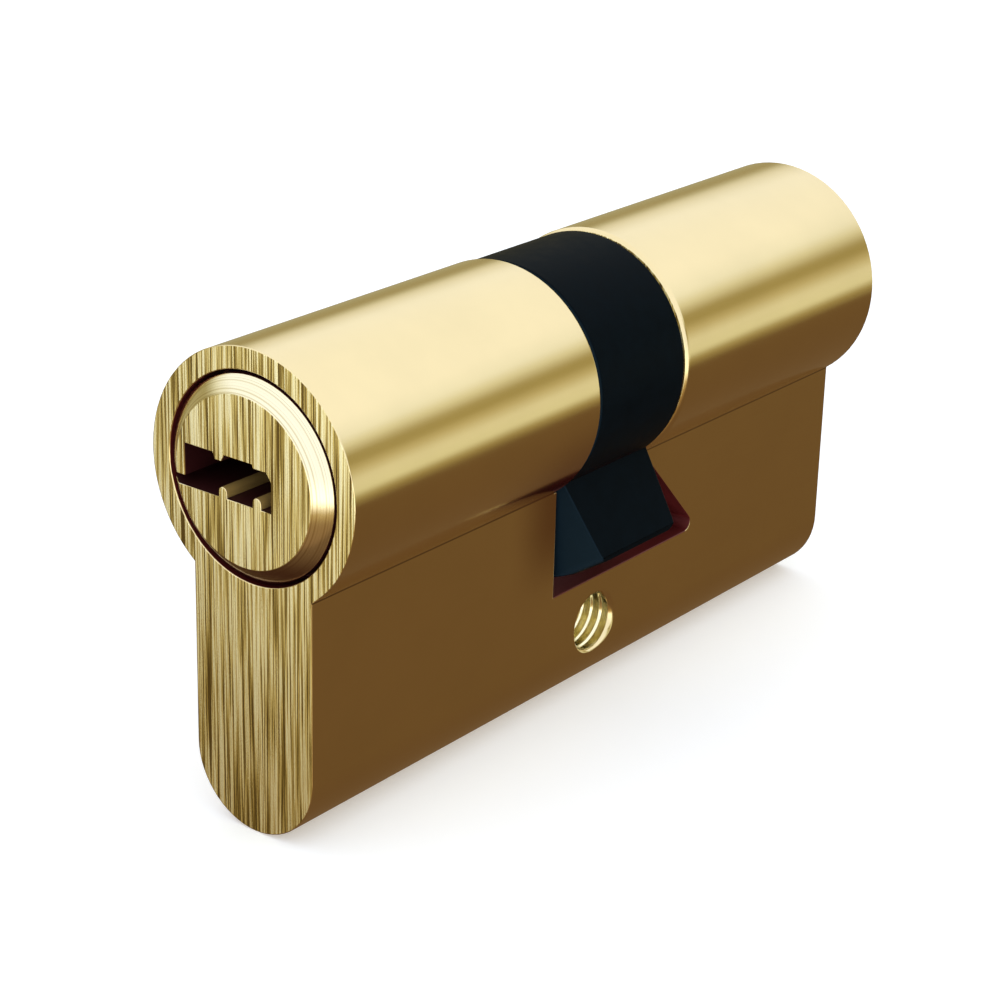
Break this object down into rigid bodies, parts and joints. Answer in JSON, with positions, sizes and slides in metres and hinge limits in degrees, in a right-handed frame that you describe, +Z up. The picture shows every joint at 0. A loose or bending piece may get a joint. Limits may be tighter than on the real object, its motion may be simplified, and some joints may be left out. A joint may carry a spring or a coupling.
{
  "type": "double cylinder door lock",
  "caption": "Euro-profile double lock cylinder: a brass housing with a keyed plug at each end, sprung pin stacks, a clutch and a black cam that turns with the plug to throw the bolt.",
  "frame": {"origin": "middle of the fixing-screw hole, on the plane midway between the housing's two sides and in line with the middle of the cam", "axes": "+Y along the plugs' axis from the front face, which looks towards -Y, to the rear face; +Z up from the shank's round edge to the barrel; +X along the fixing-screw hole, towards the side that the cam's nose stands out of"},
  "size_m": [0.017, 0.0616, 0.033],
  "materials": {
    "housing_brass": "satin, brushed end faces",
    "plug_brass": "brushed face, turned rim",
    "cap_brass": "satin",
    "cam_black": "satin black",
    "dog_steel": "sintered steel",
    "pin_nickel": "turned nickel silver",
    "driver_steel": "turned",
    "hardened_steel": "ground",
    "spring_steel": "bright drawn wire"
  },
  "bodies": {
    "housing": {"housing": "housing_brass", "front_guard_pin": "hardened_steel", "front_chamber_caps": "cap_brass", "front_pin_spring_1": "spring_steel", "front_pin_spring_2": "spring_steel", "front_pin_spring_3": "spring_steel", "front_pin_spring_4": "spring_steel", "front_pin_spring_5": "spring_steel", "rear_guard_pin": "hardened_steel", "rear_chamber_caps": "cap_brass", "rear_pin_spring_1": "spring_steel", "rear_pin_spring_2": "spring_steel", "rear_pin_spring_3": "spring_steel", "rear_pin_spring_4": "spring_steel", "rear_pin_spring_5": "spring_steel"},
    "cam": {"cam": "cam_black"},
    "front_plug": {"front_plug": "plug_brass", "front_clip": "spring_steel", "front_plug_guards": "hardened_steel"},
    "rear_plug": {"rear_plug": "plug_brass", "rear_clip": "spring_steel", "rear_plug_guards": "hardened_steel"},
    "front_clutch_dog": {"front_clutch_dog": "dog_steel", "clutch_spring": "spring_steel"},
    "rear_clutch_dog": {"rear_clutch_dog": "dog_steel"},
    "front_key_pin_1": {"front_key_pin_1": "pin_nickel"},
    "front_driver_pin_1": {"front_driver_pin_1": "driver_steel"},
    "front_key_pin_2": {"front_key_pin_2": "pin_nickel"},
    "front_driver_pin_2": {"front_driver_pin_2": "driver_steel"},
    "front_key_pin_3": {"front_key_pin_3": "pin_nickel"},
    "front_driver_pin_3": {"front_driver_pin_3": "driver_steel"},
    "front_key_pin_4": {"front_key_pin_4": "pin_nickel"},
    "front_driver_pin_4": {"front_driver_pin_4": "driver_steel"},
    "front_key_pin_5": {"front_key_pin_5": "pin_nickel"},
    "front_driver_pin_5": {"front_driver_pin_5": "driver_steel"},
    "rear_key_pin_1": {"rear_key_pin_1": "pin_nickel"},
    "rear_driver_pin_1": {"rear_driver_pin_1": "driver_steel"},
    "rear_key_pin_2": {"rear_key_pin_2": "pin_nickel"},
    "rear_driver_pin_2": {"rear_driver_pin_2": "driver_steel"},
    "rear_key_pin_3": {"rear_key_pin_3": "pin_nickel"},
    "rear_driver_pin_3": {"rear_driver_pin_3": "driver_steel"},
    "rear_key_pin_4": {"rear_key_pin_4": "pin_nickel"},
    "rear_driver_pin_4": {"rear_driver_pin_4": "driver_steel"},
    "rear_key_pin_5": {"rear_key_pin_5": "pin_nickel"},
    "rear_driver_pin_5": {"rear_driver_pin_5": "driver_steel"}
  },
  "joints": [
    {"name": "front_plug_turn", "type": "hinge", "parent": "housing", "child": "front_plug", "pos_m": [0, 0, 0.0185], "axis": [0, 1, 0], "range_deg": [-360, 360]},
    {"name": "rear_plug_turn", "type": "hinge", "parent": "housing", "child": "rear_plug", "pos_m": [0, 0, 0.0185], "axis": [0, 1, 0], "range_deg": [-360, 360]},
    {"name": "cam_turn", "type": "hinge", "parent": "housing", "child": "cam", "pos_m": [0, 0, 0.0185], "axis": [0, 1, 0], "range_deg": [-360, 360]},
    {"name": "clutch_shift", "type": "slide", "parent": "front_plug", "child": "front_clutch_dog", "axis": [0, 1, 0], "range_m": [-0.0022, 0]},
    {"name": "rear_clutch_shift", "type": "slide", "parent": "rear_plug", "child": "rear_clutch_dog", "axis": [0, 1, 0], "range_m": [-0.0022, 0]},
    {"name": "front_key_pin_1_lift", "type": "slide", "parent": "front_plug", "child": "front_key_pin_1", "axis": [0, 0, 1], "range_m": [0, 0.0012]},
    {"name": "front_driver_pin_1_lift", "type": "slide", "parent": "housing", "child": "front_driver_pin_1", "axis": [0, 0, 1], "range_m": [0, 0.0012], "deforming": ["front_pin_spring_1"]},
    {"name": "front_key_pin_2_lift", "type": "slide", "parent": "front_plug", "child": "front_key_pin_2", "axis": [0, 0, 1], "range_m": [0, 0.0006]},
    {"name": "front_driver_pin_2_lift", "type": "slide", "parent": "housing", "child": "front_driver_pin_2", "axis": [0, 0, 1], "range_m": [0, 0.0006], "deforming": ["front_pin_spring_2"]},
    {"name": "front_key_pin_3_lift", "type": "slide", "parent": "front_plug", "child": "front_key_pin_3", "axis": [0, 0, 1], "range_m": [0, 0.0018]},
    {"name": "front_driver_pin_3_lift", "type": "slide", "parent": "housing", "child": "front_driver_pin_3", "axis": [0, 0, 1], "range_m": [0, 0.0018], "deforming": ["front_pin_spring_3"]},
    {"name": "front_key_pin_4_lift", "type": "slide", "parent": "front_plug", "child": "front_key_pin_4", "axis": [0, 0, 1], "range_m": [0, 0.0009]},
    {"name": "front_driver_pin_4_lift", "type": "slide", "parent": "housing", "child": "front_driver_pin_4", "axis": [0, 0, 1], "range_m": [0, 0.0009], "deforming": ["front_pin_spring_4"]},
    {"name": "front_key_pin_5_lift", "type": "slide", "parent": "front_plug", "child": "front_key_pin_5", "axis": [0, 0, 1], "range_m": [0, 0.0015]},
    {"name": "front_driver_pin_5_lift", "type": "slide", "parent": "housing", "child": "front_driver_pin_5", "axis": [0, 0, 1], "range_m": [0, 0.0015], "deforming": ["front_pin_spring_5"]},
    {"name": "rear_key_pin_1_lift", "type": "slide", "parent": "rear_plug", "child": "rear_key_pin_1", "axis": [0, 0, 1], "range_m": [0, 0.0009]},
    {"name": "rear_driver_pin_1_lift", "type": "slide", "parent": "housing", "child": "rear_driver_pin_1", "axis": [0, 0, 1], "range_m": [0, 0.0009], "deforming": ["rear_pin_spring_1"]},
    {"name": "rear_key_pin_2_lift", "type": "slide", "parent": "rear_plug", "child": "rear_key_pin_2", "axis": [0, 0, 1], "range_m": [0, 0.0015]},
    {"name": "rear_driver_pin_2_lift", "type": "slide", "parent": "housing", "child": "rear_driver_pin_2", "axis": [0, 0, 1], "range_m": [0, 0.0015], "deforming": ["rear_pin_spring_2"]},
    {"name": "rear_key_pin_3_lift", "type": "slide", "parent": "rear_plug", "child": "rear_key_pin_3", "axis": [0, 0, 1], "range_m": [0, 0.0006]},
    {"name": "rear_driver_pin_3_lift", "type": "slide", "parent": "housing", "child": "rear_driver_pin_3", "axis": [0, 0, 1], "range_m": [0, 0.0006], "deforming": ["rear_pin_spring_3"]},
    {"name": "rear_key_pin_4_lift", "type": "slide", "parent": "rear_plug", "child": "rear_key_pin_4", "axis": [0, 0, 1], "range_m": [0, 0.0018]},
    {"name": "rear_driver_pin_4_lift", "type": "slide", "parent": "housing", "child": "rear_driver_pin_4", "axis": [0, 0, 1], "range_m": [0, 0.0018], "deforming": ["rear_pin_spring_4"]},
    {"name": "rear_key_pin_5_lift", "type": "slide", "parent": "rear_plug", "child": "rear_key_pin_5", "axis": [0, 0, 1], "range_m": [0, 0.0012]},
    {"name": "rear_driver_pin_5_lift", "type": "slide", "parent": "housing", "child": "rear_driver_pin_5", "axis": [0, 0, 1], "range_m": [0, 0.0012], "deforming": ["rear_pin_spring_5"]}
  ],
  "couplings": [
    {"joint": "cam_turn", "follows": "front_plug_turn", "ratio": 1},
    {"joint": "rear_clutch_shift", "follows": "clutch_shift", "ratio": 1},
    {"joint": "front_driver_pin_1_lift", "follows": "front_key_pin_1_lift", "ratio": 1},
    {"joint": "front_key_pin_2_lift", "follows": "front_key_pin_1_lift", "ratio": 0.5},
    {"joint": "front_driver_pin_2_lift", "follows": "front_key_pin_1_lift", "ratio": 0.5},
    {"joint": "front_key_pin_3_lift", "follows": "front_key_pin_1_lift", "ratio": 1.5},
    {"joint": "front_driver_pin_3_lift", "follows": "front_key_pin_1_lift", "ratio": 1.5},
    {"joint": "front_key_pin_4_lift", "follows": "front_key_pin_1_lift", "ratio": 0.75},
    {"joint": "front_driver_pin_4_lift", "follows": "front_key_pin_1_lift", "ratio": 0.75},
    {"joint": "front_key_pin_5_lift", "follows": "front_key_pin_1_lift", "ratio": 1.25},
    {"joint": "front_driver_pin_5_lift", "follows": "front_key_pin_1_lift", "ratio": 1.25},
    {"joint": "rear_driver_pin_1_lift", "follows": "rear_key_pin_1_lift", "ratio": 1},
    {"joint": "rear_key_pin_2_lift", "follows": "rear_key_pin_1_lift", "ratio": 1.6667},
    {"joint": "rear_driver_pin_2_lift", "follows": "rear_key_pin_1_lift", "ratio": 1.6667},
    {"joint": "rear_key_pin_3_lift", "follows": "rear_key_pin_1_lift", "ratio": 0.66667},
    {"joint": "rear_driver_pin_3_lift", "follows": "rear_key_pin_1_lift", "ratio": 0.66667},
    {"joint": "rear_key_pin_4_lift", "follows": "rear_key_pin_1_lift", "ratio": 2},
    {"joint": "rear_driver_pin_4_lift", "follows": "rear_key_pin_1_lift", "ratio": 2},
    {"joint": "rear_key_pin_5_lift", "follows": "rear_key_pin_1_lift", "ratio": 1.3333},
    {"joint": "rear_driver_pin_5_lift", "follows": "rear_key_pin_1_lift", "ratio": 1.3333}
  ]
}
